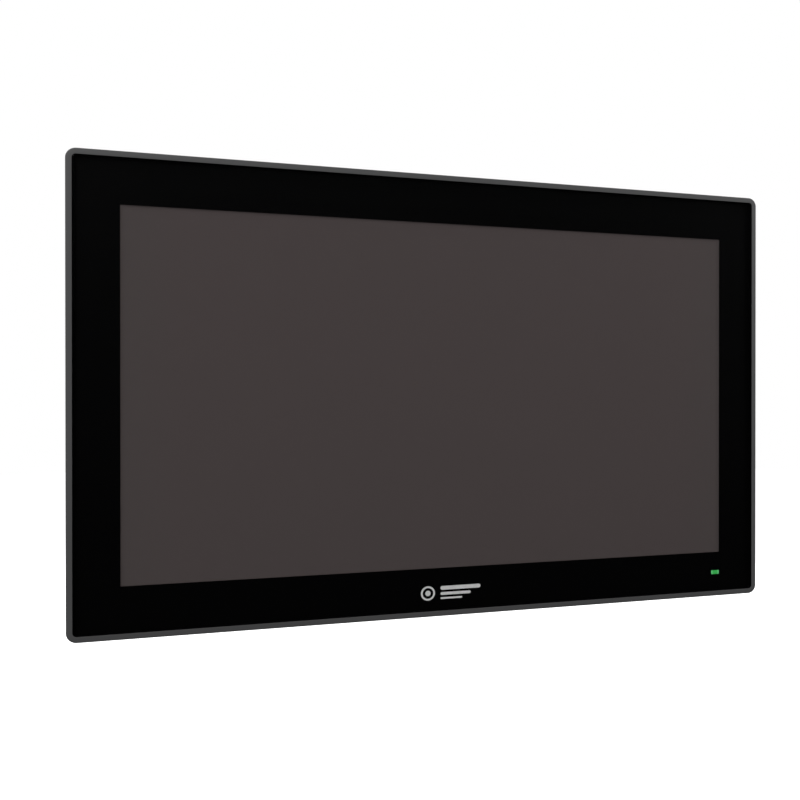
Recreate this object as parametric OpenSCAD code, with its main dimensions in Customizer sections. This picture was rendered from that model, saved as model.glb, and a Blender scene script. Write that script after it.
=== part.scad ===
// Flush-mounted 21.5 inch industrial touch panel with a fanless controller box on its back.
// Millimetres. +X right and +Z up as seen from the front, which faces -Y.
// The origin is the centre of the wall cut-out, on the rear face of the bezel.

/* [Bezel and glass] */
// Width of the bezel
bezel_w = 547.6; // [540:0.2:560]
// Height of the bezel
bezel_h = 343.8; // [338:0.2:350]
// Thickness of the bezel in front of the wall
bezel_t = 8; // [7:0.5:10]
// Outer corner radius of the bezel
bezel_r = 7.2; // [4:0.2:9]
// Width of the painted rim round the glass
rim_w = 4.3; // [3.5:0.1:5]
// Thickness of the cover glass
glass_t = 2.7; // [2:0.1:3]
// Width of the clear window in the black border
view_w = 478.4; // [470:0.2:479]
// Height of the clear window in the black border
view_h = 269.6; // [264:0.2:271]

/* [Rear chassis] */
// Width of the chassis that passes through the wall cut-out
chassis_w = 524; // [522:1:526]
// Height of the chassis that passes through the wall cut-out
chassis_h = 320; // [318:1:322]
// Depth of the chassis behind the wall
chassis_d = 32; // [30:0.5:36]
// Thickness of the chassis sheet
sheet_t = 1.5; // [1:0.1:2]

/* [Controller box] */
// Width of the box
box_w = 280; // [276:1:290]
// Height of the box
box_h = 200; // [198:1:210]
// Depth of the box walls
box_d = 23; // [23:0.5:30]
// Height of the cooling fins
fin_h = 9; // [6:0.5:14]
// Spacing of the VESA holes
vesa = 100; // [100:1:100]

/* [Wall clamps] */
// Gap between foot and bezel with the clamp open
clamp_gap = 7; // [6.5:0.1:7.5]
// Travel of the clamp foot
clamp_travel = 5.5; // [4:0.1:5.8]
// Distance of the clamp screw from the chassis wall
clamp_out = 6.3; // [6.2:0.1:6.6]

/* [Hidden] */
$fn = 48;

// Layers from the front of the bezel to the back of the display
glass_fit = 0.2;
glass_recess = 0.2;
print_t = 0.1;
tape_t = 0.4;
glass_w = bezel_w - 2 * (rim_w + glass_fit);
glass_h = bezel_h - 2 * (rim_w + glass_fit);
glass_r = bezel_r - rim_w - glass_fit;
glass_y = -bezel_t + glass_recess;
print_y = glass_y + glass_t;
tape_y = print_y + print_t;
shelf_y = tape_y + tape_t;
window_w = 506;
window_h = 299;

// Display module
lcd_w = 495.6;
lcd_h = 292.2;
lcd_y = -4.3;
cell_w = 484;
cell_h = 276;
cell_y = -3.7;
film_y = -2.3;
guide_y = -1.3;
tray_y = 1.8;
tray_back = 2.6;

// Support ring behind the bezel, and the chassis over it
ring_w = chassis_w - 2 * sheet_t - 1;
ring_h = chassis_h - 2 * sheet_t - 1;
ring_in_w = 500;
ring_in_h = 296;
ring_d = 9;
chassis_front = 0.6;
gasket_proud = 1;
groove_d = 1.8;
gasket_fit = 0.2;
gasket_out_w = bezel_w - 6.4;
gasket_out_h = bezel_h - 6.4;
gasket_in_w = bezel_w - 13.6;
gasket_in_h = bezel_h - 13.6;

// Status light, low on the right of the border
light_x = 235.5;
light_z = -152.3;
light_w = 7.4;
light_h = 3.4;

// M3 screws
m3_r = 1.45;
m3_hole = 1.65;
m3_head_r = 2.8;
m3_head_h = 1.8;

// Controller box, hung low on the chassis
box_y = chassis_d;
box_back = box_y + box_d;
box_z = -5;
box_low = box_z - box_h / 2;
box_high = box_z + box_h / 2;
box_t = 1.5;
cover_t = 4;
cover_y = box_back + cover_t;
pad_w = 118;
pad_y = cover_y + fin_h + 1;
post_x = box_w / 2 - 9;
post_r = 4;
post_spots = [
    [-post_x, box_low + 9], [post_x, box_low + 9], [-post_x, box_high - 9],
    [post_x, box_high - 9], [-45, box_high - 9], [45, box_high - 9],
];
flange_w = 10;
flange_spots = [
    for (side = [-1, 1], z = [-62, 62]) [side * (box_w / 2 - 5.5), box_z + z],
    for (x = [-80, 80]) [x, box_high - 5.5],
];

// Main board, carried by standoffs on the chassis
board_y = 36;
board_t = 1.6;
board_top = board_y + board_t;
board_x = 118;
board_low = box_low + 4;
board_high = 72;
standoff_spots = [for (x = [-110, 0, 110], z = [-70, 64]) [x, z]];

// Connectors along the underside of the box, from left to right
port_z = box_low - 0.8;
power_x = -112;
power_y = 44;
switch_x = -80;
switch_y = 44;
reset_x = -60;
reset_y = 46;
lan_spots = [-38, -18];
usb_spots = [6, 24];
video_x = 52;
serial_x = 92;
serial_y = 46;
wall_fit = 0.3;

// Storage door on the right wall of the box
door_low = -25;
door_high = 45;
door_x = box_w / 2 + 0.3;
hinge_x = box_w / 2 + 3.2;
hinge_y = box_back;
hinge_r = 2.2;
pin_r = 0.9;

// Screw positions on the support ring
ring_spots_x = [-210, -70, 70, 210];
ring_spots_z = [-90, 90];
side_screw_x = [-235, -95, 95, 235];
side_screw_z = [-80, 80];
side_screw_y = 4.8;

// Clamps as [turn about Y, distance along the wall, distance of the wall from the centre]
clamp_spots = [
    for (x = [-190, 0, 190]) [0, x, chassis_h / 2],
    for (x = [-190, 0, 190]) [180, x, chassis_h / 2],
    [-90, 0, chassis_w / 2],
    [90, 0, chassis_w / 2],
];
clamp_body_front = 13;
clamp_body_back = 27;
foot_l = 5.4;
clamp_screw_r = 2;

// Basic shapes, given by their limits along each axis
module block(x0, x1, y0, y1, z0, z1) {
    translate([x0, y0, z0]) cube([x1 - x0, y1 - y0, z1 - z0]);
}

module y_rod(r, y0, y1, x = 0, z = 0) {
    translate([x, y0, z]) rotate([-90, 0, 0]) cylinder(r = r, h = y1 - y0);
}

module z_rod(r, z0, z1, x = 0, y = 0) {
    translate([x, y, z0]) cylinder(r = r, h = z1 - z0);
}

module x_rod(r, x0, x1, y = 0, z = 0) {
    translate([x0, y, z]) rotate([0, 90, 0]) cylinder(r = r, h = x1 - x0);
}

module rounded(w, h, r) {
    square([w - 2 * r, h], center = true);
    square([w, h - 2 * r], center = true);
    for (x = [-1, 1], y = [-1, 1]) translate([x * (w / 2 - r), y * (h / 2 - r)]) circle(r);
}

// Rounded plate that faces the front
module plate(w, h, r, y0, y1, x = 0, z = 0) {
    translate([x, y1, z]) rotate([90, 0, 0]) linear_extrude(y1 - y0) rounded(w, h, r);
}

module ring_plate(outer, inner, y0, y1) {
    difference() {
        plate(outer[0], outer[1], outer[2], y0, y1);
        plate(inner[0], inner[1], inner[2], y0 - 1, y1 + 1);
    }
}

// A profile drawn in Y and Z, carried along X
module along_x(x0, x1) {
    translate([x0, 0, 0]) rotate([90, 0, 90]) linear_extrude(x1 - x0) children();
}

// Points of a ribbon of thickness t that follows a path
function unit(v) = v / norm(v);
function step_at(path, i) = unit(path[min(i + 1, len(path) - 1)] - path[max(i - 1, 0)]);
function side_of(path, i, d) = path[i] + d * [-step_at(path, i)[1], step_at(path, i)[0]];
function ribbon(path, t) = concat(
    [for (i = [0 : len(path) - 1]) side_of(path, i, t / 2)],
    [for (i = [len(path) - 1 : -1 : 0]) side_of(path, i, -t / 2)]
);

module at_clamp(i) {
    spot = clamp_spots[i];
    rotate([0, spot[0], 0]) translate([spot[1], 0, spot[2]]) children();
}

// Screws of the support ring as [x, z, height of the plate under the head]
function ring_screws() = [
    for (x = ring_spots_x, side = [-1, 1]) [x, side * (ring_in_h + 10) / 2, ring_d],
    for (z = ring_spots_z, side = [-1, 1]) [side * (ring_in_w + 10) / 2, z, ring_d + 1.2],
];

module side_screw_spots() {
    for (a = [0, 180], x = side_screw_x)
        rotate([0, a, 0]) translate([x, side_screw_y, chassis_h / 2]) children();
    for (a = [-90, 90], z = side_screw_z)
        rotate([0, a, 0]) translate([z, side_screw_y, chassis_w / 2]) children();
}

// Front of the panel
module bezel_frame() {
    color("#4a4a4b") difference() {
        plate(bezel_w, bezel_h, bezel_r, -bezel_t, 0);
        plate(glass_w + 2 * glass_fit, glass_h + 2 * glass_fit, glass_r + glass_fit, -bezel_t - 1, shelf_y);
        plate(window_w, window_h, 4, shelf_y - 1, 1);
        ring_plate([gasket_out_w, gasket_out_h, 4], [gasket_in_w, gasket_in_h, 2], -groove_d, 1);
        block(light_x - light_w / 2 - 0.3, light_x + light_w / 2 + 0.3, shelf_y - 1, 1,
            light_z - light_h / 2 - 0.3, light_z + light_h / 2 + 0.3);
        for (s = ring_screws()) y_rod(m3_r + 0.05, -3.6, 1, s[0], s[1]);
    }
}

module cover_glass() {
    color("#101214", 0.35) plate(glass_w, glass_h, glass_r, glass_y, print_y);
}

module border_print() {
    color("#050505") difference() {
        ring_plate([glass_w - 0.6, glass_h - 0.6, glass_r], [view_w, view_h, 0.5], print_y, tape_y);
        plate(light_w, light_h, 0.4, print_y - 1, tape_y + 1, light_x, light_z);
    }
}

module glass_tape() {
    color("#1a1a1a") difference() {
        ring_plate([glass_w - 2, glass_h - 2, 2], [window_w + 2, window_h + 2, 3], tape_y, shelf_y);
        block(light_x - 5, light_x + 5, tape_y - 1, shelf_y + 1, light_z - 3, light_z + 3);
    }
}

// Sensor film with a flat tail that wraps under the display
module touch_sensor() {
    tail = [[tape_y + 0.25, -146.6], [tape_y + 0.4, -147], [4, -147], [4.3, -146.2], [4.3, -141.3]];
    color("#3a3f3a") {
        plate(window_w - 4, window_h - 5, 1, tape_y, tape_y + 0.5);
        along_x(-12, 12) polygon(ribbon(tail, 0.3));
    }
}

module status_light() {
    color("#35c24a") {
        plate(light_w, light_h, 0.4, print_y + 0.02, -2.4, light_x, light_z);
        block(light_x - 3, light_x + 3, -2.4, -0.6, light_z - 1.2, light_z + 1.2);
    }
}

module lcd_front_frame() {
    color("#9a9c9e") difference() {
        plate(lcd_w, lcd_h, 1, lcd_y, tray_y);
        plate(lcd_w - 1, lcd_h - 1, 0.6, cell_y, tray_y + 1);
        plate(cell_w - 4, cell_h - 4, 0.5, lcd_y - 1, cell_y + 1);
    }
}

module lcd_cell() {
    color("#2b2928") plate(cell_w, cell_h, 0.5, cell_y, film_y);
}

module diffuser_stack() {
    color("#f2f2ee") for (i = [0 : 2])
        plate(cell_w - 1, cell_h - 1, 0.5, film_y + i * 0.33, film_y + i * 0.33 + 0.28);
}

module light_guide() {
    color("#e8f2f4") plate(cell_w - 1, cell_h - 1, 0.5, guide_y, tray_y - 0.1);
}

module lcd_back_tray() {
    color("#b8bcbf") {
        difference() {
            plate(lcd_w - 2, lcd_h - 2, 0.6, guide_y, tray_back);
            plate(lcd_w - 4, lcd_h - 4, 0.5, guide_y - 1, tray_y);
        }
        for (z = [-60, 60]) block(-200, 200, tray_back, tray_back + 0.9, z - 5, z + 5);
    }
}

module lcd_brackets() {
    color("#a8acb0") for (side = [0, 180], z = ring_spots_z) rotate([0, side, 0]) difference() {
        union() {
            block(248.3, 259, ring_d, ring_d + 1.2, z - 12, z + 12);
            block(248.3, 249.5, tray_back + 0.1, ring_d + 1.2, z - 12, z + 12);
            block(228, 249.5, tray_back + 0.1, tray_back + 1.3, z - 12, z + 12);
        }
        y_rod(m3_hole, ring_d - 1, ring_d + 2, (ring_in_w + 10) / 2, z);
    }
}

module support_frame() {
    color("#8d9093") difference() {
        ring_plate([ring_w, ring_h, 2.5], [ring_in_w, ring_in_h, 1.5], 0, ring_d);
        for (s = ring_screws()) y_rod(m3_hole, -1, ring_d + 1, s[0], s[1]);
        side_screw_spots() z_rod(m3_r + 0.05, -9, 0);
        block(light_x - 4, light_x + 4, -1, 2, light_z - 2, light_z + 2);
    }
}

module panel_gasket() {
    color("#202020") ring_plate([gasket_out_w - 2 * gasket_fit, gasket_out_h - 2 * gasket_fit, 3.8],
        [gasket_in_w + 2 * gasket_fit, gasket_in_h + 2 * gasket_fit, 2.2], -groove_d, gasket_proud);
}

// Rear chassis
module slot(length, r, y0, y1) {
    block(-r, r, y0, y1, -length / 2 + r, length / 2 - r);
    for (side = [-1, 1]) y_rod(r, y0, y1, 0, side * (length / 2 - r));
}

module wall_vents() {
    for (centre = [-95, 95], i = [-3 : 3])
        translate([centre + i * 10, 19, chassis_h / 2]) rotate([90, 0, 0]) slot(14, 1.6, -3, 3);
}

module back_vents() {
    for (side = [-1, 1], i = [0 : 7], z = [-27, 27])
        translate([side * (166 + i * 10), chassis_d, box_z + z]) slot(42, 1.6, -3, 3);
}

module rear_chassis() {
    inside = chassis_d - sheet_t;
    color("#9fa3a6") difference() {
        union() {
            plate(chassis_w, chassis_h, 4, chassis_front, chassis_d);
            for (side = [-1, 1], z = [-112, 102])
                plate(84, 8, 3.9, chassis_d - 0.5, chassis_d + 1.2, side * 200, z);
        }
        plate(chassis_w - 2 * sheet_t, chassis_h - 2 * sheet_t, 2.5, chassis_front - 1, inside);
        for (i = [0 : len(clamp_spots) - 1]) at_clamp(i) block(-4.3, 4.3, 11.5, 20.85, -3, 3);
        for (side = [0, 180]) rotate([0, side, 0]) wall_vents();
        back_vents();
        block(-30, 30, inside - 1, chassis_d + 1, -78, -52);
        side_screw_spots() {
            z_rod(m3_hole, -3, 1);
            translate([0, 0, -sheet_t]) cylinder(r1 = m3_hole, r2 = m3_hole + sheet_t, h = sheet_t);
        }
        for (s = flange_spots) y_rod(m3_hole, inside - 1, chassis_d + 1, s[0], s[1]);
        for (s = standoff_spots) y_rod(m3_hole, inside - 1, chassis_d + 1, s[0], s[1]);
    }
}

module touch_controller() {
    color("#1f6b3a") {
        block(-35, 35, 3.8, 5, -141, -116);
        block(-13, 13, 3.7, 6, -140.8, -137);
        block(-8, 6, 5, 6.2, -133, -121);
        for (x = [-30, 30], z = [-138, -119]) y_rod(2.5, tray_back, 3.8, x, z);
    }
}

module display_cable() {
    route = [[4.2, -96], [4.2, -86], [6, -78], [14, -70], [24, -66], [32, -64], [34, -58], [34.2, -50], [34.2, -42]];
    color("#c9a45a") along_x(-12, 12) polygon(ribbon(route, 0.5));
    color("#e9e6dc") {
        block(-14, 14, tray_back, 3.95, -98, -92);
        block(-14, 14, 34.45, board_y, -46, -40);
    }
}

module pan_screw(length) {
    difference() {
        union() {
            y_rod(m3_head_r, 0, m3_head_h);
            y_rod(m3_r, -length, 0.2);
        }
        for (turn = [0, 90]) rotate([0, turn, 0]) block(-1.4, 1.4, m3_head_h - 1, m3_head_h + 1, -0.25, 0.25);
    }
}

module pan_screws() {
    color("#c8c9cc") {
        for (s = ring_screws()) translate([s[0], s[2], s[1]]) pan_screw(s[2] + 3.2);
        for (s = flange_spots) translate([s[0], box_y + box_t, s[1]]) pan_screw(4.5);
        for (s = standoff_spots) translate([s[0], board_top, s[1]]) pan_screw(4.4);
    }
}

module chassis_screws() {
    head_h = sheet_t - 0.1;
    color("#c8c9cc") side_screw_spots() difference() {
        union() {
            z_rod(m3_r, -8, -head_h + 0.1);
            translate([0, 0, -sheet_t]) cylinder(r1 = m3_r, r2 = m3_r + head_h, h = head_h);
        }
        for (turn = [0, 90]) rotate([0, 0, turn]) block(-1.4, 1.4, -0.25, 0.25, -0.9, 1);
    }
}

// Controller box
module box_ports() {
    low = box_low - 1;
    high = box_low + box_t + 1;
    block(power_x - 14.5, power_x + 14.5, power_y - 5.5, power_y + 5.9, low, high);
    block(switch_x - 9.8, switch_x + 9.8, switch_y - 6.6, switch_y + 6.6, low, high);
    z_rod(2.1, low, high, reset_x, reset_y);
    for (x = lan_spots) block(x - 8 - wall_fit, x + 8 + wall_fit, 37.6, 51.6, low, high);
    for (x = usb_spots) block(x - 6.7 - wall_fit, x + 6.7 + wall_fit, 37.6, 52.9, low, high);
    block(video_x - 9.5, video_x + 9.5, 37.7, 45.3, low, high);
    block(serial_x - 9.9, serial_x + 9.9, serial_y - 5.6, serial_y + 5.6, low, high);
    for (side = [-1, 1]) z_rod(1.6, low, high, serial_x + side * 12.5, serial_y);
}

module hinge_ears() {
    for (span = [[-19, -5.3], [25.3, 39]]) difference() {
        union() {
            block(box_w / 2 - 1, hinge_x, hinge_y - hinge_r, hinge_y, span[0], span[1]);
            z_rod(hinge_r, span[0], span[1], hinge_x, hinge_y);
        }
        z_rod(pin_r + 0.02, span[0] - 1, span[1] + 1, hinge_x, hinge_y);
    }
}

module box_base() {
    inner_w = box_w - 2 * box_t;
    inner_h = box_h - 2 * box_t;
    color("#2e3033") {
        difference() {
            plate(box_w, box_h, 2.5, box_y, box_back, 0, box_z);
            plate(inner_w, inner_h, 1.5, box_y + box_t, box_back + 1, 0, box_z);
            plate(inner_w - 2 * flange_w, inner_h - 2 * flange_w, 1.5, box_y - 1, box_back, 0, box_z);
            box_ports();
            block(box_w / 2 - box_t - 1, box_w / 2 + 1, 38, 49, -15, 39);
            for (i = [-8 : 8]) translate([i * 11, 0, 0]) z_slot(box_high);
            for (i = [0 : 7]) translate([0, 0, -70 + i * 9]) x_slot(-box_w / 2);
            for (s = flange_spots) y_rod(m3_hole, box_y - 1, box_y + box_t + 1, s[0], s[1]);
            x_rod(1.95, -box_w / 2 - 1, -box_w / 2 + box_t + 1, 44, box_low + 14);
        }
        difference() {
            for (s = post_spots) y_rod(post_r, box_y + box_t - 0.5, box_back, s[0], s[1]);
            for (s = post_spots) y_rod(1.7, box_y + box_t + 2, box_back + 1, s[0], s[1]);
        }
        hinge_ears();
    }
}

// Vent slots in the top wall and in the left wall of the box
module z_slot(z) {
    block(-1.5, 1.5, 38, 50, z - 3, z + 3);
    for (y = [38, 50]) z_rod(1.5, z - 3, z + 3, 0, y);
}

module x_slot(x) {
    block(x - 3, x + 3, 38, 50, -1.5, 1.5);
    for (y = [38, 50]) x_rod(1.5, x - 3, x + 3, y, 0);
}

module heatsink_cover() {
    fin_low = box_low + 20;
    fin_high = box_high - 20;
    color("#26282a") difference() {
        union() {
            plate(box_w, box_h, 2.5, box_back, cover_y, 0, box_z);
            plate(pad_w, pad_w, 4, cover_y - 0.5, pad_y, 0, box_z);
            for (side = [-1, 1], i = [0 : 10])
                block(side * (66 + 7 * i) - 1, side * (66 + 7 * i) + 1, cover_y - 0.5, cover_y + fin_h,
                    fin_low, fin_high);
        }
        for (x = [-1, 1], z = [-1, 1])
            y_rod(2, pad_y - 9, pad_y + 1, x * vesa / 2, box_z + z * vesa / 2);
        for (s = post_spots) {
            y_rod(2.1, box_back - 1, cover_y + 1, s[0], s[1]);
            y_rod(4.1, cover_y - 2.2, cover_y + 1, s[0], s[1]);
        }
        for (z = [box_z - 25, box_z + 25]) block(-40, 40, pad_y - 1, pad_y + 1, z - 14, z + 14);
    }
}

module cover_screws() {
    color("#c8c9cc") for (s = post_spots) translate([s[0], cover_y - 2.2, s[1]]) difference() {
        union() {
            y_rod(3.6, 0, 2);
            y_rod(1.65, -12, 0.2);
        }
        translate([0, 0.7, 0]) rotate([-90, 0, 0]) cylinder(r = 1.5, h = 3, $fn = 6);
    }
}

// Main board and what it carries
module main_board() {
    color("#1c5f38") difference() {
        union() {
            block(-board_x, board_x, board_y, board_top, board_low, board_high);
            for (i = [0 : 4]) y_rod(4, board_top - 0.2, board_top + 9, -104 + 10.5 * i, -76);
            for (i = [0 : 3]) block(-20 + 13 * i, -10 + 13 * i, board_top - 0.2, board_top + 4, 46, 56);
            for (x = [-62, 60], z = [-50, -26]) block(x - 8, x + 8, board_top - 0.2, board_top + 1.4, z - 8, z + 8);
            block(62, 104, board_top - 0.2, board_top + 6, 54, 62);
            y_rod(11.5, board_top - 0.2, board_top + 1, -92, -14);
        }
        for (s = standoff_spots) y_rod(m3_hole, board_y - 1, board_top + 1, s[0], s[1]);
    }
}

module board_standoffs() {
    color("#c9b458") for (s = standoff_spots) difference() {
        y_rod(3, chassis_d, board_y, s[0], s[1], $fn = 6);
        y_rod(m3_r + 0.05, chassis_d - 1, board_y + 1, s[0], s[1]);
    }
}

module processor() {
    color("#5a5d60") {
        block(-8, 27, board_top, board_top + 1.2, -20, 15);
        block(0, 19, board_top + 1.2, board_top + 2, -12, 7);
    }
}

module heat_spreader() {
    color("#b87333") block(-15, 34, board_top + 2, box_back - 1, -27, 22);
    color("#c3c6c9") block(-20, 39, box_back - 1, box_back, -32, 27);
}

module memory_module() {
    color("#19543a") {
        block(-100, -32.4, 40.6, 41.8, 8, 38);
        for (i = [0 : 3]) block(-97 + 16.5 * i, -85 + 16.5 * i, 41.8, 42.8, 18, 32);
    }
    color("#222222") block(-102, -30.4, board_top, 43, 3, 9.5);
}

module backup_battery() {
    color("#c6c8ca") {
        y_rod(10, board_top + 1, board_top + 3.6, -92, -14);
        y_rod(8.6, board_top + 3.6, board_top + 4.2, -92, -14);
    }
}

module card_cage() {
    color("#3b3d40") difference() {
        block(92, 138, board_top, 43.6, -12, 36);
        block(95, 139, 38.9, 42.7, -9.6, 33.6);
        block(118, 139, 41, 44, 0, 24);
    }
}

module storage_card() {
    color("#56606b") block(97.5, 133.9, 39, 42.5, -9.4, 33.4);
}

module storage_door() {
    color("#33363a") difference() {
        union() {
            block(door_x, door_x + 2, hinge_y - 21, hinge_y - 3, door_low, door_high);
            block(door_x, hinge_x, hinge_y - 3.5, hinge_y, -5, 25);
            z_rod(hinge_r, -5, 25, hinge_x, hinge_y);
            block(door_x, door_x + 4, hinge_y - 22, hinge_y - 20.5, 0, 20);
        }
        z_rod(pin_r + 0.06, -6, 26, hinge_x, hinge_y);
        for (i = [0 : 4]) block(door_x + 1.4, door_x + 3, hinge_y - 18.5 + 2.4 * i, hinge_y - 17.5 + 2.4 * i, -1, 21);
    }
}

module door_hinge_pin() {
    color("#d0d2d4") z_rod(pin_r, -19.5, 39.5, hinge_x, hinge_y);
}

// Connectors, which open downwards
module ethernet_ports() {
    color("#b9bdc1") for (x = lan_spots) translate([x, 0, port_z]) difference() {
        block(-8, 8, 37.8, 51.3, 0, 21);
        block(-5.9, 5.9, 39.6, 47.8, -1, 15);
        block(-3, 3, 47, 49.8, -1, 15);
        for (side = [-1, 1]) block(side * 5.6 - 1.4, side * 5.6 + 1.4, 49, 50.4, -1, 0.4);
    }
}

module usb_ports() {
    color("#c2c5c8") for (x = usb_spots) translate([x, 0, port_z]) {
        difference() {
            block(-6.7, 6.7, 37.8, 52.6, 0, 17.5);
            for (y = [38.6, 46.6]) block(-6.2, 6.2, y, y + 5.2, -1, 12);
        }
        for (y = [40.5, 48.5]) block(-5.4, 5.4, y, y + 1.7, 1.5, 12.5);
    }
}

module video_port() {
    color("#b9bdc1") translate([video_x, 0, port_z]) {
        difference() {
            block(-9.2, 9.2, 38, 45, 0, 15);
            block(-8.05, 8.05, 39.1, 43.9, -1, 9);
        }
        block(-6.6, 6.6, 40.7, 42, 1, 9.5);
    }
}

// D-shaped outline, wide at the top
module d_outline(w, h) {
    polygon([[-w / 2, h / 2], [w / 2, h / 2], [w / 2 - h * 0.18, -h / 2], [-w / 2 + h * 0.18, -h / 2]]);
}

module serial_port() {
    translate([serial_x, serial_y, box_low]) {
        color("#b9bdc1") {
            difference() {
                union() {
                    block(-15.4, 15.4, -6.3, 6.3, -0.8, 0);
                    translate([0, 0, -6.5]) linear_extrude(6) d_outline(17.9, 9.4);
                    translate([0, 0, -0.8]) linear_extrude(11) d_outline(19.2, 10.8);
                }
                translate([0, 0, -7]) linear_extrude(7) d_outline(16.9, 8.4);
                for (side = [-1, 1]) z_rod(1.6, -2, 1, side * 12.5, 0);
            }
            for (i = [0 : 4]) z_rod(0.5, -5.2, 0.5, (i - 2) * 2.74, 1.42);
            for (i = [0 : 3]) z_rod(0.5, -5.2, 0.5, (i - 1.5) * 2.74, -1.42);
        }
        color("#d0d2d4") for (side = [-1, 1]) translate([side * 12.5, 0, 0]) difference() {
            union() {
                translate([0, 0, -5.8]) cylinder(r = 2.9, h = 5, $fn = 6);
                z_rod(1.5, -1, 6);
            }
            z_rod(1.25, -6.5, -2);
        }
    }
}

module power_header() {
    pole = 5.08;
    color("#2f6e46") translate([power_x, power_y, box_low]) difference() {
        union() {
            difference() {
                block(-14.2, 14.2, -5.2, 5.6, -1.2, 13);
                block(-8.6, 8.6, -4, 4.4, -2, 8.5);
            }
            for (i = [-1 : 1]) block(i * pole - 0.5, i * pole + 0.5, -0.5, 0.5, 0.8, 9);
        }
        for (side = [-1, 1]) z_rod(2, -2, 5, side * 11.4, 0);
    }
}

// Threaded nuts for the locking screws of a power plug
module header_nuts() {
    color("#c9b458") translate([power_x, power_y, box_low]) for (side = [-1, 1]) difference() {
        z_rod(2, -1.2, 5, side * 11.4, 0);
        z_rod(1.25, -2, 4, side * 11.4, 0);
    }
}

module switch_housing() {
    color("#17181a") translate([switch_x, switch_y, box_low]) difference() {
        union() {
            block(-10.8, 10.8, -7.5, 7.5, -1.8, 0);
            block(-9.6, 9.6, -6.4, 6.4, -0.1, 16);
        }
        block(-8.6, 8.6, -5.3, 5.3, -3, 9);
        y_rod(1.25, -6.1, 6.1, 0, 1.6);
    }
}

// The rocker rests tipped to its off side
module switch_rocker() {
    side = [[-7.6, -4.4], [0, -3.2], [7.6, -4.4], [7, 0], [3, 3.4], [-3, 3.4], [-7, 0]];
    color("#b3261e") translate([switch_x, switch_y, box_low + 1.6]) rotate([0, -8, 0]) difference() {
        union() {
            translate([0, 5, 0]) rotate([90, 0, 0]) linear_extrude(10) polygon(side);
            y_rod(1.2, -5.8, 5.8, 0, 0);
        }
        y_rod(1.6, -2.4, 2.4, -4.6, -4.2);
    }
}

module reset_button() {
    color("#d9d9d6") {
        z_rod(1.8, box_low - 1.2, box_low + 7, reset_x, reset_y);
        z_rod(2.8, box_low + 2.2, box_low + 3.2, reset_x, reset_y);
    }
}

module ground_screw() {
    color("#cdb86a") translate([-box_w / 2, 44, box_low + 14]) rotate([0, -90, 0]) {
        difference() {
            union() {
                z_rod(5, 0, 0.9);
                z_rod(3.9, 0.9, 3.4);
                z_rod(1.9, -4.5, 1);
            }
            for (turn = [0, 90]) rotate([0, 0, turn]) block(-2.1, 2.1, -0.35, 0.35, 2.2, 4);
        }
    }
}

// Wall clamps, drawn with the chassis wall at z = 0 and pointing up
module clamp_body() {
    difference() {
        union() {
            translate([0, clamp_body_back, 0]) rotate([90, 0, 0])
                linear_extrude(clamp_body_back - clamp_body_front)
                    polygon([[-7, 0.05], [7, 0.05], [7, 8.4], [4.6, 10.8], [-4.6, 10.8], [-7, 8.4]]);
            block(-4, 4, 17, 20.8, -4.5, 0.5);
            block(-4, 4, 17, 26, -4.5, -1.6);
        }
        y_rod(clamp_screw_r + 0.05, clamp_body_front - 1, clamp_body_back + 1, 0, clamp_out);
        for (i = [0 : 3], side = [-1, 1])
            block(side * 7 - 0.6, side * 7 + 0.6, 15.5 + 3 * i, 16.5 + 3 * i, 2, 7.6);
    }
}

module clamp_bodies() {
    color("#3c3f43") for (i = [0 : len(clamp_spots) - 1]) at_clamp(i) clamp_body();
}

module clamp_screw(i) {
    tip = clamp_gap + 2.4;
    head = clamp_body_back + clamp_travel + 1;
    color("#c8c9cc") at_clamp(i) difference() {
        union() {
            y_rod(clamp_screw_r, tip, head + 0.2, 0, clamp_out);
            y_rod(3.5, head, head + 3.5, 0, clamp_out);
        }
        translate([0, head + 1.2, clamp_out]) rotate([-90, 0, 0]) cylinder(r = 1.75, h = 4, $fn = 6);
    }
}

module clamp_foot(i) {
    color("#17181a") at_clamp(i) difference() {
        union() {
            y_rod(4, clamp_gap, clamp_gap + 1.6, 0, clamp_out);
            y_rod(3.3, clamp_gap + 1.5, clamp_gap + foot_l, 0, clamp_out);
        }
        y_rod(clamp_screw_r + 0.08, clamp_gap + 2.2, clamp_gap + foot_l + 1, 0, clamp_out);
    }
}

bezel_frame();
cover_glass();
border_print();
glass_tape();
touch_sensor();
status_light();
lcd_front_frame();
lcd_cell();
diffuser_stack();
light_guide();
lcd_back_tray();
lcd_brackets();
support_frame();
panel_gasket();
rear_chassis();
touch_controller();
display_cable();
chassis_screws();
pan_screws();
box_base();
heatsink_cover();
cover_screws();
main_board();
board_standoffs();
processor();
heat_spreader();
memory_module();
backup_battery();
card_cage();
storage_card();
storage_door();
door_hinge_pin();
ethernet_ports();
usb_ports();
video_port();
serial_port();
power_header();
header_nuts();
switch_housing();
switch_rocker();
reset_button();
ground_screw();
clamp_bodies();
for (i = [0 : len(clamp_spots) - 1]) {
    clamp_screw(i);
    clamp_foot(i);
}
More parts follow.
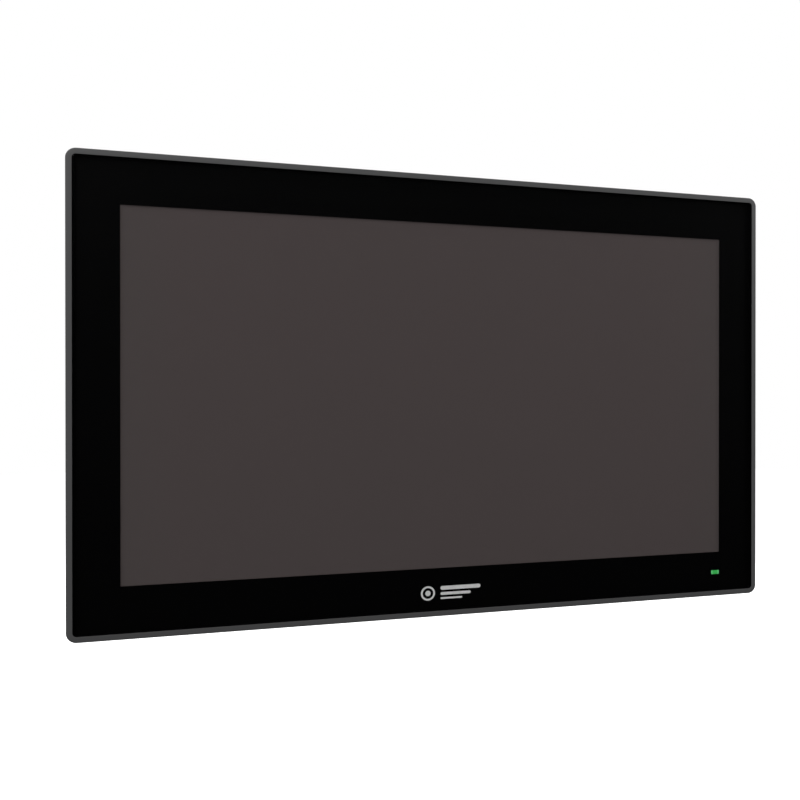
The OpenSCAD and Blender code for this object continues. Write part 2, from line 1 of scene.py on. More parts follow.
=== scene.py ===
# Flush-mounted touch panel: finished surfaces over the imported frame.
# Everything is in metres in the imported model's own frame; the small helpers take millimetres.
import math
import bmesh
import bpy
import numpy as np
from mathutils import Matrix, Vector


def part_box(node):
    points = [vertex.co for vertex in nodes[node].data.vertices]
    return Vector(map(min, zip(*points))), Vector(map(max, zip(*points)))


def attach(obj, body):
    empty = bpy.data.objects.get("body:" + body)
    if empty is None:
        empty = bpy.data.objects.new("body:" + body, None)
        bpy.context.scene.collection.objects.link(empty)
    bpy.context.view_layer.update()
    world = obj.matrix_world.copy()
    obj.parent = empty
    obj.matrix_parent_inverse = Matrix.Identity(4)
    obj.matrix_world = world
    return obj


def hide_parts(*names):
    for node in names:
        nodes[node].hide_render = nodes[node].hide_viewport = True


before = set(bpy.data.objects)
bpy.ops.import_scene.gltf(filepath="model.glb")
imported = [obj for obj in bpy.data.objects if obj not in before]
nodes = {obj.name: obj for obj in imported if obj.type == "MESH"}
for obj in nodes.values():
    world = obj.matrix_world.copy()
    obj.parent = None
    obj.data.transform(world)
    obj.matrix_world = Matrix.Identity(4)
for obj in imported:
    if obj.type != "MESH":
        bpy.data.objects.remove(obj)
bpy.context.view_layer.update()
mm = 0.001
print("frame loaded with", len(nodes), "nodes")


def startFinish(name):
    finish = bpy.data.materials.new(name)
    finish.use_nodes = True
    tree = finish.node_tree
    return finish, tree, tree.nodes["Principled BSDF"]


def place(tree, kind, inputs=None, **settings):
    # adds a node, sets its properties and its unlinked inputs
    node = tree.nodes.new(kind)
    for key, value in settings.items():
        setattr(node, key, value)
    for key, value in (inputs or {}).items():
        node.inputs[key].default_value = value
    return node


def objectPoint(tree, stretch=(1, 1, 1), turn=(0, 0, 0), shift=(0, 0, 0)):
    coords = place(tree, "ShaderNodeTexCoord")
    mapping = place(tree, "ShaderNodeMapping", {"Scale": stretch, "Rotation": turn, "Location": shift})
    tree.links.new(coords.outputs["Object"], mapping.inputs["Vector"])
    return mapping.outputs["Vector"]


def noiseOf(tree, point, scale, detail=3.0, rough=0.55):
    noise = place(tree, "ShaderNodeTexNoise", {"Scale": scale, "Detail": detail, "Roughness": rough})
    tree.links.new(point, noise.inputs["Vector"])
    return noise.outputs["Fac"]


def spread(tree, value, low, high, fromLow=0.3, fromHigh=0.7):
    # stretches the middle of a noise over a useful range
    limits = {"From Min": fromLow, "From Max": fromHigh, "To Min": low, "To Max": high}
    span = place(tree, "ShaderNodeMapRange", limits)
    tree.links.new(value, span.inputs["Value"])
    return span.outputs["Result"]


def blendColour(tree, factor, first, second):
    mix = place(tree, "ShaderNodeMix", data_type="RGBA")
    for socket, colour in ((mix.inputs[6], first), (mix.inputs[7], second)):
        if isinstance(colour, bpy.types.NodeSocket):
            tree.links.new(colour, socket)
        else:
            socket.default_value = (*colour, 1)
    tree.links.new(factor, mix.inputs[0])
    return mix.outputs[2]


def bumpFrom(tree, shader, height, strength, distance):
    bump = place(tree, "ShaderNodeBump", {"Strength": strength, "Distance": distance})
    tree.links.new(height, bump.inputs["Height"])
    tree.links.new(bump.outputs["Normal"], shader.inputs["Normal"])


def makeFinish(name, look):
    # a coated, cast, drawn or moulded surface: tone drifts slowly, gloss and height follow a fine grain
    finish, tree, shader = startFinish(name)
    dark = tuple(c * look.get("drift", 0.86) for c in look["colour"])
    point = objectPoint(tree)
    grainPoint = objectPoint(tree, look.get("stretch", (1, 1, 1)))
    broad = noiseOf(tree, point, look.get("broad", 14), 4)
    grain = noiseOf(tree, grainPoint, look.get("grain", 1800), look.get("detail", 2))
    tone = blendColour(tree, spread(tree, broad, 0, 1), dark, look["colour"])
    if "fleck" in look:
        speck = place(tree, "ShaderNodeTexVoronoi", {"Scale": look.get("fleckScale", 900)})
        tree.links.new(point, speck.inputs["Vector"])
        share = spread(tree, speck.outputs["Distance"], look["fleckMost"], 0, 0.05, 0.45)
        tone = blendColour(tree, share, tone, look["fleck"])
    tree.links.new(tone, shader.inputs["Base Color"])
    low, high = look["rough"]
    mixed = place(tree, "ShaderNodeMath", operation="ADD")
    tree.links.new(spread(tree, grain, 0, (high - low) * 0.6), mixed.inputs[0])
    tree.links.new(spread(tree, broad, low, low + (high - low) * 0.4), mixed.inputs[1])
    tree.links.new(mixed.outputs[0], shader.inputs["Roughness"])
    shader.inputs["Metallic"].default_value = look.get("metal", 0)
    shader.inputs["Specular IOR Level"].default_value = look.get("gloss", 0.5)
    bumpFrom(tree, shader, grain, look.get("bump", 0.25), look.get("depth", 0.00006))
    return finish


bezelPaint = makeFinish("bezelPaint", {
    "colour": (0.067, 0.067, 0.068), "drift": 0.94, "broad": 9, "grain": 2600, "rough": (0.5, 0.66),
    "bump": 0.3, "depth": 0.00004, "fleck": (0.1, 0.1, 0.1), "fleckScale": 1500, "fleckMost": 0.1, "gloss": 0.3})
boxPaint = makeFinish("boxPaint", {
    "colour": (0.035, 0.037, 0.041), "drift": 0.8, "grain": 2200, "rough": (0.42, 0.6), "bump": 0.45,
    "depth": 0.00008, "fleck": (0.08, 0.08, 0.085), "fleckScale": 1300, "fleckMost": 0.1})
castBlack = makeFinish("castBlack", {
    "colour": (0.026, 0.027, 0.03), "drift": 0.72, "broad": 30, "grain": 1300, "detail": 4, "rough": (0.38, 0.62),
    "bump": 0.4, "depth": 0.00012, "fleck": (0.07, 0.07, 0.072), "fleckScale": 700, "fleckMost": 0.16})
clampCast = makeFinish("clampCast", {
    "colour": (0.1, 0.104, 0.112), "drift": 0.7, "broad": 120, "grain": 1500, "detail": 4, "metal": 0.6,
    "rough": (0.36, 0.56), "bump": 0.35, "depth": 0.0001})
darkPlastic = makeFinish("darkPlastic", {
    "colour": (0.022, 0.023, 0.025), "drift": 0.85, "grain": 1700, "rough": (0.5, 0.68), "bump": 0.5,
    "depth": 0.00007})
nylonBlack = makeFinish("nylonBlack", {
    "colour": (0.014, 0.014, 0.015), "drift": 0.8, "grain": 1100, "rough": (0.42, 0.6), "bump": 0.3,
    "depth": 0.00006})
redPlastic = makeFinish("redPlastic", {
    "colour": (0.46, 0.018, 0.014), "drift": 0.9, "broad": 90, "grain": 900, "rough": (0.2, 0.34), "bump": 0.12,
    "depth": 0.00004})
palePlastic = makeFinish("palePlastic", {
    "colour": (0.66, 0.65, 0.6), "drift": 0.93, "broad": 80, "grain": 900, "rough": (0.35, 0.5), "bump": 0.15})
greenPlastic = makeFinish("greenPlastic", {
    "colour": (0.03, 0.2, 0.085), "drift": 0.86, "broad": 70, "grain": 1200, "rough": (0.38, 0.54), "bump": 0.25})
sealFoam = makeFinish("sealFoam", {
    "colour": (0.016, 0.016, 0.016), "drift": 0.75, "broad": 60, "grain": 900, "detail": 5, "rough": (0.72, 0.9),
    "bump": 0.8, "depth": 0.0002, "gloss": 0.25})
castFrameGrey = makeFinish("castFrameGrey", {
    "colour": (0.46, 0.47, 0.48), "drift": 0.84, "broad": 26, "grain": 1100, "detail": 4, "metal": 0.9,
    "rough": (0.4, 0.6), "bump": 0.3, "depth": 0.0001})
nickelSteel = makeFinish("nickelSteel", {
    "colour": (0.62, 0.61, 0.58), "drift": 0.88, "broad": 160, "grain": 1600, "metal": 1.0, "rough": (0.2, 0.36),
    "bump": 0.12, "depth": 0.00003})
portNickel = makeFinish("portNickel", {
    "colour": (0.66, 0.66, 0.65), "drift": 0.9, "broad": 120, "grain": 700, "stretch": (1, 1, 0.06), "metal": 1.0,
    "rough": (0.22, 0.4), "bump": 0.15, "depth": 0.00003})
turnedBrass = makeFinish("turnedBrass", {
    "colour": (0.68, 0.5, 0.23), "drift": 0.85, "broad": 150, "grain": 1500, "metal": 1.0, "rough": (0.22, 0.38),
    "bump": 0.12, "depth": 0.00003})
goldContact = makeFinish("goldContact", {
    "colour": (0.83, 0.6, 0.24), "drift": 0.9, "broad": 200, "grain": 2500, "metal": 1.0, "rough": (0.16, 0.3),
    "bump": 0.06, "depth": 0.00002})
milledMetal = makeFinish("milledMetal", {
    "colour": (0.68, 0.69, 0.7), "drift": 0.9, "broad": 50, "grain": 900, "stretch": (0.05, 1, 1), "metal": 1.0,
    "rough": (0.24, 0.42), "bump": 0.2, "depth": 0.00004})
whiteFilm = makeFinish("whiteFilm", {
    "colour": (0.82, 0.82, 0.8), "drift": 0.97, "broad": 20, "grain": 3000, "rough": (0.5, 0.62), "bump": 0.1})
clearAcrylic = makeFinish("clearAcrylic", {
    "colour": (0.76, 0.84, 0.86), "drift": 0.96, "broad": 12, "grain": 1800, "rough": (0.08, 0.16), "bump": 0.05})
blackTape = makeFinish("blackTape", {
    "colour": (0.018, 0.018, 0.018), "drift": 0.8, "broad": 60, "grain": 1500, "rough": (0.7, 0.85), "bump": 0.5})
chipMould = makeFinish("chipMould", {
    "colour": (0.05, 0.05, 0.052), "drift": 0.8, "broad": 90, "grain": 1900, "rough": (0.4, 0.55), "bump": 0.3})
cardShell = makeFinish("cardShell", {
    "colour": (0.1, 0.13, 0.17), "drift": 0.88, "broad": 60, "grain": 1500, "rough": (0.4, 0.52), "bump": 0.3})
labelFilm = makeFinish("labelFilm", {
    "colour": (0.5, 0.51, 0.52), "drift": 0.96, "broad": 40, "grain": 2200, "stretch": (0.08, 1, 1), "metal": 0.55,
    "rough": (0.36, 0.5), "bump": 0.08, "depth": 0.00002})
amberFilm = makeFinish("amberFilm", {
    "colour": (0.52, 0.27, 0.07), "drift": 0.85, "broad": 60, "grain": 1200, "rough": (0.3, 0.42), "bump": 0.15})
creamPlastic = makeFinish("creamPlastic", {
    "colour": (0.72, 0.69, 0.6), "drift": 0.93, "broad": 90, "grain": 1200, "rough": (0.4, 0.52), "bump": 0.2})
markInk = makeFinish("markInk", {
    "colour": (0.74, 0.74, 0.74), "drift": 0.93, "broad": 260, "grain": 5200, "rough": (0.5, 0.62), "bump": 0.1,
    "gloss": 0.2})


def makeZincSheet(name, look):
    # rolled sheet: crystal patches of slightly different brightness under fine rolling lines
    finish, tree, shader = startFinish(name)
    point = objectPoint(tree)
    patches = place(tree, "ShaderNodeTexVoronoi", {"Scale": look["patch"], "Randomness": 1.0})
    wobble = noiseOf(tree, point, look["patch"] * 0.8, 2)
    moved = place(tree, "ShaderNodeVectorMath", operation="ADD")
    shove = place(tree, "ShaderNodeVectorMath", {1: (look["shove"],) * 3}, operation="MULTIPLY")
    tree.links.new(wobble, shove.inputs[0])
    tree.links.new(point, moved.inputs[0])
    tree.links.new(shove.outputs[0], moved.inputs[1])
    tree.links.new(moved.outputs[0], patches.inputs["Vector"])
    lines = noiseOf(tree, objectPoint(tree, look["rolled"]), look["lines"], 3)
    cloud = noiseOf(tree, point, look["cloud"], 4)
    grey = place(tree, "ShaderNodeRGBToBW")
    tree.links.new(patches.outputs["Color"], grey.inputs["Color"])
    tone = blendColour(tree, spread(tree, grey.outputs["Val"], 0, 1, 0.2, 0.8), look["dull"], look["bright"])
    tone = blendColour(tree, spread(tree, cloud, 0, look["stain"]), tone, look["stained"])
    tree.links.new(tone, shader.inputs["Base Color"])
    shader.inputs["Metallic"].default_value = look["metal"]
    gloss = place(tree, "ShaderNodeMath", operation="ADD")
    tree.links.new(spread(tree, lines, 0, look["lineRough"]), gloss.inputs[0])
    patchRough = spread(tree, grey.outputs["Val"], *look["patchRough"], 0.2, 0.8)
    tree.links.new(patchRough, gloss.inputs[1])
    tree.links.new(gloss.outputs[0], shader.inputs["Roughness"])
    bumpFrom(tree, shader, lines, look["bump"], look["depth"])
    return finish


zincSheet = makeZincSheet("zincSheet", {
    "patch": 240, "shove": 0.002, "rolled": (0.04, 1, 1), "lines": 1500, "cloud": 9, "stain": 0.4,
    "bright": (0.47, 0.48, 0.49), "dull": (0.448, 0.457, 0.467), "stained": (0.44, 0.442, 0.442), "metal": 0.92,
    "lineRough": 0.12, "patchRough": (0.47, 0.52), "bump": 0.07, "depth": 0.00003})


def makeScreenFinish(name, look):
    # switched-off polariser: warm dark grey, its faint cell grid and a slow drift of tone towards the rim
    finish, tree, shader = startFinish(name)
    point = objectPoint(tree)
    drift = noiseOf(tree, point, 3.2, 3)
    fine = noiseOf(tree, point, 2400, 2)
    split = place(tree, "ShaderNodeSeparateXYZ")
    tree.links.new(point, split.inputs[0])
    sideways = place(tree, "ShaderNodeMath", operation="ABSOLUTE")
    tree.links.new(split.outputs["X"], sideways.inputs[0])
    rim = spread(tree, sideways.outputs[0], 0, 1, look["rimFrom"], look["rimTo"])
    tone = blendColour(tree, rim, look["middle"], look["edge"])
    tone = blendColour(tree, spread(tree, drift, 0, look["driftMost"]), tone, look["cool"])
    tree.links.new(tone, shader.inputs["Base Color"])
    tree.links.new(spread(tree, fine, *look["rough"]), shader.inputs["Roughness"])
    shader.inputs["Specular IOR Level"].default_value = look["gloss"]
    columns = place(tree, "ShaderNodeTexWave", {"Scale": look["pitch"], "Distortion": 0.0}, bands_direction="X")
    tree.links.new(point, columns.inputs["Vector"])
    bumpFrom(tree, shader, columns.outputs["Fac"], look["bump"], look["depth"])
    return finish


screenFilm = makeScreenFinish("screenFilm", {
    "middle": (0.142, 0.116, 0.115), "edge": (0.128, 0.12, 0.115), "cool": (0.124, 0.114, 0.111), "driftMost": 0.5,
    "rimFrom": 0.2, "rimTo": 0.24, "rough": (0.46, 0.6), "gloss": 0.15, "pitch": 640, "bump": 0.02,
    "depth": 0.00002})


def makeClearSheet(name, look):
    # sees straight through to what lies behind; only the gloss and a little tint belong to the sheet itself
    finish, tree, shader = startFinish(name)
    point = objectPoint(tree)
    wiped = noiseOf(tree, objectPoint(tree, (1, 1, 0.35), (0, 0.6, 0)), look["wipes"], 5, 0.62)
    sparkle = noiseOf(tree, point, 3800, 2)
    shader.inputs["Base Color"].default_value = (*look["tint"], 1)
    tree.links.new(spread(tree, wiped, *look["rough"]), shader.inputs["Roughness"])
    shader.inputs["Specular IOR Level"].default_value = look["gloss"]
    shader.inputs["Alpha"].default_value = look["alpha"]
    bumpFrom(tree, shader, sparkle, look["bump"], 0.00001)
    return finish


coverGlass = makeClearSheet("coverGlass", {
    "tint": (0.003, 0.003, 0.0035), "alpha": 0.06, "gloss": 0.5, "rough": (0.07, 0.13), "wipes": 9, "bump": 0.03})
# the touch film's tint repeats the screen's grey: partly the film's own haze, partly painted light that fills in the
# shadow the ink's edge casts on the screen behind it
touchFilmPaintedFill = makeClearSheet("touchFilmPaintedFill", {
    "tint": (0.138, 0.113, 0.112), "alpha": 0.35, "gloss": 0.06, "rough": (0.4, 0.5), "wipes": 16, "bump": 0.02})


def makeBlackInk(name, look):
    # ceramic ink fused to the back of the glass: almost no reflection of its own, a trace of screen texture
    finish, tree, shader = startFinish(name)
    weave = noiseOf(tree, objectPoint(tree), look["weave"], 2)
    tone = blendColour(tree, spread(tree, weave, 0, 1), look["deep"], look["raised"])
    tree.links.new(tone, shader.inputs["Base Color"])
    tree.links.new(spread(tree, weave, *look["rough"]), shader.inputs["Roughness"])
    shader.inputs["Specular IOR Level"].default_value = look["gloss"]
    bumpFrom(tree, shader, weave, look["bump"], look["depth"])
    return finish


blackInk = makeBlackInk("blackInk", {
    "weave": 2600, "deep": (0.0002, 0.0002, 0.00025), "raised": (0.0006, 0.0006, 0.0007), "rough": (0.55, 0.7),
    "gloss": 0.02, "bump": 0.1, "depth": 0.00001})


def makeLampFinish(name, look):
    # lit lens: brighter where the light leaves at its two ends, cloudy in the middle
    finish, tree, shader = startFinish(name)
    point = objectPoint(tree, shift=(-look["centre"][0], 0, -look["centre"][1]))
    split = place(tree, "ShaderNodeSeparateXYZ")
    tree.links.new(point, split.inputs[0])
    sideways = place(tree, "ShaderNodeMath", operation="ABSOLUTE")
    tree.links.new(split.outputs["X"], sideways.inputs[0])
    ends = spread(tree, sideways.outputs[0], 0, 1, look["half"] * 0.45, look["half"])
    cloud = noiseOf(tree, point, 900, 2)
    glow = blendColour(tree, ends, look["core"], look["ends"])
    glow = blendColour(tree, spread(tree, cloud, 0, 0.35), glow, look["cloud"])
    tree.links.new(glow, shader.inputs["Emission Color"])
    tree.links.new(glow, shader.inputs["Base Color"])
    tree.links.new(spread(tree, cloud, 0.25, 0.4), shader.inputs["Roughness"])
    shader.inputs["Emission Strength"].default_value = look["power"]
    return finish


def makeCircuitFinish(name, look):
    # solder mask over copper: straight tracks in two directions, brighter where the copper lies under the mask
    finish, tree, shader = startFinish(name)
    point = objectPoint(tree)
    tracks = []
    for direction, pitch in (("X", look["pitch"]), ("Z", look["pitch"] * 1.3)):
        wave = place(tree, "ShaderNodeTexWave", {"Scale": pitch, "Distortion": 0.0}, bands_direction=direction)
        tree.links.new(point, wave.inputs["Vector"])
        tracks.append(spread(tree, wave.outputs["Fac"], 0, 1, 0.55, 0.7))
    cells = place(tree, "ShaderNodeTexVoronoi", {"Scale": look["blocks"]}, distance="CHEBYCHEV")
    tree.links.new(point, cells.inputs["Vector"])
    choice = place(tree, "ShaderNodeRGBToBW")
    tree.links.new(cells.outputs["Color"], choice.inputs["Color"])
    either = place(tree, "ShaderNodeMix")
    tree.links.new(spread(tree, choice.outputs["Val"], 0, 1, 0.49, 0.51), either.inputs[0])
    tree.links.new(tracks[0], either.inputs[2])
    tree.links.new(tracks[1], either.inputs[3])
    tone = blendColour(tree, either.outputs[0], look["mask"], look["copper"])
    tree.links.new(tone, shader.inputs["Base Color"])
    tree.links.new(spread(tree, noiseOf(tree, point, 700, 3), *look["rough"]), shader.inputs["Roughness"])
    bumpFrom(tree, shader, either.outputs[0], look["bump"], look["depth"])
    return finish


circuitGreen = makeCircuitFinish("circuitGreen", {
    "pitch": 260, "blocks": 70, "mask": (0.012, 0.1, 0.042), "copper": (0.03, 0.2, 0.08), "rough": (0.22, 0.38),
    "bump": 0.3, "depth": 0.00003})
print("finishes ready")


def roundedLoops(rows, steps):
    # each row is width, height, corner radius, depth, centre x, centre z; corner k turns from k to k+1 quarters,
    # so a point is the corner's centre plus radius times (cosine, sine) of the turned angle
    rows = np.array([list(row) + [0, 0] if len(row) == 4 else list(row) for row in rows], float)
    angle = np.linspace(0, np.pi / 2, steps + 1)[None, :] + np.arange(4)[:, None] * np.pi / 2
    signX = np.array([1, -1, -1, 1])[:, None] * np.ones_like(angle)
    signZ = np.array([1, 1, -1, -1])[:, None] * np.ones_like(angle)
    angle, signX, signZ = angle.ravel(), signX.ravel(), signZ.ravel()
    width, height, radius, depth, midX, midZ = [column[:, None] for column in rows.T]
    x = midX + signX * (width / 2 - radius) + radius * np.cos(angle)
    z = midZ + signZ * (height / 2 - radius) + radius * np.sin(angle)
    return np.stack([x, depth + 0 * x, z], axis=-1)


def turnedRings(profile, columns, shape=None):
    # a profile of (radius, height) rows turned about the third axis; shape(row, angle) may scale the radius
    profile = np.array(profile, float)
    angle = np.arange(columns) * 2 * np.pi / columns
    radius = profile[:, :1] * np.ones((1, columns))
    if shape is not None:
        radius = shape(radius, angle)
    height = profile[:, 1:2] + 0 * radius
    return np.stack([radius * np.cos(angle), radius * np.sin(angle), height], axis=-1)


def gridFaces(rowCount, columnCount, ringed):
    # quads between neighbouring rows; columns always wrap, rows wrap on a closed ring
    last = rowCount if ringed else rowCount - 1
    row, column = np.meshgrid(np.arange(last), np.arange(columnCount), indexing="ij")
    nextRow, nextColumn = (row + 1) % rowCount, (column + 1) % columnCount
    corners = [row * columnCount + column, row * columnCount + nextColumn,
               nextRow * columnCount + nextColumn, nextRow * columnCount + column]
    return np.stack([corner.ravel() for corner in corners], axis=-1)


def meshFrom(parts, name):
    # parts are (points, faces, caps); they share one mesh and keep their own vertices
    points, faces, offset = [], [], 0
    for grid, quads, caps in parts:
        flat = grid.reshape(-1, 3)
        points.append(flat)
        faces += (quads + offset).tolist() + [[int(v) + offset for v in cap] for cap in caps]
        offset += len(flat)
    mesh = bpy.data.meshes.new(name)
    mesh.from_pydata((np.concatenate(points) * mm).tolist(), [], faces)
    work = bmesh.new()
    work.from_mesh(mesh)
    bmesh.ops.recalc_face_normals(work, faces=work.faces)
    work.to_mesh(mesh)
    work.free()
    return mesh


def loftPart(grid, ringed=False):
    rowCount, columnCount = grid.shape[:2]
    quads = gridFaces(rowCount, columnCount, ringed)
    caps = [] if ringed else [np.arange(columnCount)[::-1], (rowCount - 1) * columnCount + np.arange(columnCount)]
    return grid, quads, caps


def addPiece(name, parts, finish, body="panel", replaced=(), creaseDegrees=32):
    mesh = parts if isinstance(parts, bpy.types.Mesh) else meshFrom(parts, name)
    mesh.materials.clear()
    mesh.materials.append(finish)
    mesh.polygons.foreach_set("use_smooth", np.ones(len(mesh.polygons), bool))
    mesh.set_sharp_from_angle(angle=math.radians(creaseDegrees))
    piece = bpy.data.objects.new(name, mesh)
    bpy.context.scene.collection.objects.link(piece)
    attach(piece, body)
    if replaced:
        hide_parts(*replaced)
    return piece


def arcRows(start, end, bulge, steps):
    # quarter of an ellipse from start to end, leaving start along the bulge direction (0: size first, 1: depth first)
    t = np.linspace(0, np.pi / 2, steps + 1)[1:]
    a, b = (np.sin(t), 1 - np.cos(t)) if bulge == 0 else (1 - np.cos(t), np.sin(t))
    start, end = np.array(start, float), np.array(end, float)
    rows = start + (end - start) * a[:, None]
    rows[:, 3] = start[3] + (end[3] - start[3]) * b
    return rows.tolist()


# bezel: a closed section carried round the rounded rectangle
bezelLook = {"outerWidth": 547.6, "outerHeight": 343.8, "cornerRadius": 7.2, "leastRadius": 1.2, "rimWidth": 4.3,
             "front": -8.0, "crownFall": 0.25, "edgeRadius": 0.6, "innerEase": 0.1, "shelf": -4.6,
             "windowWidth": 506, "windowHeight": 299, "windowRadius": 4,
             "grooveDepth": 1.8, "grooveOuter": 6.4, "grooveInner": 13.6, "grooveRadii": (4, 2)}


def insideBezel(inset, depth):
    # the bezel's outline moved inwards by the inset, its corners getting tighter by as much
    w, h, r = bezelLook["outerWidth"], bezelLook["outerHeight"], bezelLook["cornerRadius"]
    return [w - 2 * inset, h - 2 * inset, max(r - inset, bezelLook["leastRadius"]), depth]


def bezelRows(look):
    rim, ease, edge = look["rimWidth"], look["innerEase"], look["edgeRadius"]
    window = [look["windowWidth"], look["windowHeight"], look["windowRadius"]]
    rows = [[*window, look["shelf"]], insideBezel(rim, look["shelf"]),
            insideBezel(rim, look["front"] + ease), insideBezel(rim - ease, look["front"])]
    # the rim falls away towards its outer edge as the square of the way across
    rows += [insideBezel(rim - ease - t * (rim - ease - edge), look["front"] + look["crownFall"] * t * t)
             for t in np.linspace(0, 1, 6)[1:]]
    rows += arcRows(rows[-1], insideBezel(0, look["front"] + look["crownFall"] + edge), 0, 6)
    rows += [insideBezel(0, -0.45), insideBezel(0.12, -0.12), insideBezel(0.45, 0)]
    # the gasket's groove goes in at its outer wall and comes out at its inner one
    for cut, radius, depths in ((look["grooveOuter"], look["grooveRadii"][0], (0, -look["grooveDepth"])),
                                (look["grooveInner"], look["grooveRadii"][1], (-look["grooveDepth"], 0))):
        rows += [[look["outerWidth"] - cut, look["outerHeight"] - cut, radius, depth] for depth in depths]
    return rows + [[*window, 0]]


addPiece("bezelRim", [loftPart(roundedLoops(bezelRows(bezelLook), 14), True)], bezelPaint,
         replaced=("bezel_frame",))

# glass: flat faces with pencil-ground edges
glassLook = {"width": 538.6, "height": 334.8, "radius": 2.7, "front": -7.8, "back": -5.14, "grind": 0.35}


def glassRows(look):
    w, h, r, g = look["width"], look["height"], look["radius"], look["grind"]
    front, back = look["front"], look["back"]
    rows = [[w - 2 * g, h - 2 * g, r - g, front]]
    rows += arcRows(rows[0], [w, h, r, front + g], 0, 5)
    rows += [[w, h, r, back - g]]
    rows += arcRows(rows[-1], [w - 2 * g, h - 2 * g, r - g, back], 1, 5)
    return rows


addPiece("frontGlass", [loftPart(roundedLoops(glassRows(glassLook), 10))], coverGlass,
         replaced=("cover_glass",))

# black sealant in the gap round the glass: an upright wall with a lip behind the glass's rim
edgeLook = {"wallOuter": 4.32, "wallInner": 4.48, "lipInner": 5.45, "front": -7.78, "lipFront": -4.98, "back": -4.65}


def edgeRows(look):
    return [insideBezel(look["wallOuter"], look["front"]), insideBezel(look["wallOuter"], look["back"]),
            insideBezel(look["lipInner"], look["back"]), insideBezel(look["lipInner"], look["lipFront"]),
            insideBezel(look["wallInner"], look["lipFront"]), insideBezel(look["wallInner"], look["front"])]


addPiece("edgeSeal", [loftPart(roundedLoops(edgeRows(edgeLook), 10), True)], blackInk)

# gasket: a bead with a domed back that stands out of its groove
beadLook = {"outerWidth": 540.8, "outerHeight": 337.0, "outerRadius": 3.8, "section": 3.2, "bottom": -1.8,
            "crest": 1.0, "dome": 0.9}


def beadRows(look):
    w, h, r = look["outerWidth"], look["outerHeight"], look["outerRadius"]
    half = look["section"] / 2

    def inside(inset, depth):
        return [w - 2 * inset, h - 2 * inset, r - inset / 2, depth]

    shoulder = look["crest"] - look["dome"]
    rows = [inside(0, look["bottom"]), inside(0, shoulder)]
    rows += arcRows(rows[-1], inside(half, look["crest"]), 1, 7)
    # the inner half of the dome is the other quarter ellipse, from the crest down to the shoulder
    rows += [inside(half * (1 + math.sin(t)), shoulder + look["dome"] * math.cos(t))
             for t in np.linspace(0.2, math.pi / 2, 7)]
    return rows + [inside(2 * half, look["bottom"])]


addPiece("sealBead", [loftPart(roundedLoops(beadRows(beadLook), 10), True)], sealFoam,
         replaced=("panel_gasket",))

# status light: a rounded bar behind its window in the ink, on a narrower stalk
lampLook = {"centre": (0.2355, -0.1523), "half": 0.0037, "core": (0.03, 0.36, 0.06), "ends": (0.16, 0.62, 0.26),
            "cloud": (0.05, 0.45, 0.12), "power": 0.36,
            "steps": ((6.9, 2.9, 0.3, -5.1), (7.3, 3.3, 0.4, -5.02), (7.4, 3.4, 0.4, -4.9), (7.4, 3.4, 0.4, -2.5),
                      (7.2, 3.2, 0.4, -2.4), (6.1, 2.5, 0.3, -2.4), (6, 2.4, 0.3, -2.2), (6, 2.4, 0.3, -0.7),
                      (5.8, 2.2, 0.25, -0.6))}  # each step is width, height, corner radius and depth
lampGreen = makeLampFinish("lampGreen", lampLook)
lampRows = [[*step, *(c / mm for c in lampLook["centre"])] for step in lampLook["steps"]]
addPiece("lampLens", [loftPart(roundedLoops(lampRows, 6))], lampGreen, replaced=("status_light",))

# plain mark on the glass: a ring round a dot, and three rounded bars
markLook = {"ringCentre": (-17.5, -154.2), "ringOuter": 5.6, "ringInner": 4.2, "dot": 2.1,
            "front": -5.13, "back": -5.105,
            "bars": [(-7.5, 25, -150.6, 3.0), (-7.5, 17, -155.0, 2.2), (-7.5, 10, -158.6, 1.4)]}


def markParts(look):
    # the ring is a square section turned through a full circle; dot and bars are thin rounded plates
    x, z = look["ringCentre"]
    inner, outer, front, back = look["ringInner"], look["ringOuter"], look["front"], look["back"]
    ring = [[2 * radius, 2 * radius, radius, depth, x, z]
            for radius, depth in ((inner, front), (outer, front), (outer, back), (inner, back))]
    parts = [loftPart(roundedLoops(ring, 14), True)]
    plates = [(x, z, 2 * look["dot"], 2 * look["dot"])]
    plates += [((left + right) / 2, height, right - left, thick) for left, right, height, thick in look["bars"]]
    for midX, midZ, wide, tall in plates:
        rows = [[wide, tall, tall / 2, depth, midX, midZ] for depth in (front, back)]
        parts.append(loftPart(roundedLoops(rows, 8)))
    return parts


addPiece("frontMark", markParts(markLook), markInk)
print("front pieces ready")


# clamp screws and shoes, turned about their own axis and then carried to their eight places
clampLook = {"out": 6.3, "tip": 9.4, "head": 33.5, "headTall": 3.5, "headRadius": 3.5, "coreRadius": 1.62,
             "threadHeight": 0.36, "threadFade": 1.5, "pitch": 0.7, "socket": 1.75, "socketDepth": 2.2,
             "columns": 60, "perPitch": 6, "ridges": 30, "ridgeDepth": 0.035}
# turn about Y in degrees, place along the edge and distance of the wall from the middle
clampSpots = [(turn, along, 160) for turn in (0, 180) for along in (-190, 0, 190)] + [(-90, 0, 262), (90, 0, 262)]


def clampTurned(points, turn, along, wall, out):
    # the third axis of a turned shape points away from the wall's front, along +Y; then the spot is turned about Y
    local = np.stack([points[..., 0] + along, points[..., 2], points[..., 1] + wall + out], axis=-1)
    c, s = math.cos(math.radians(turn)), math.sin(math.radians(turn))
    x, z = local[..., 0], local[..., 2]
    return np.stack([c * x + s * z, local[..., 1], -s * x + c * z], axis=-1)


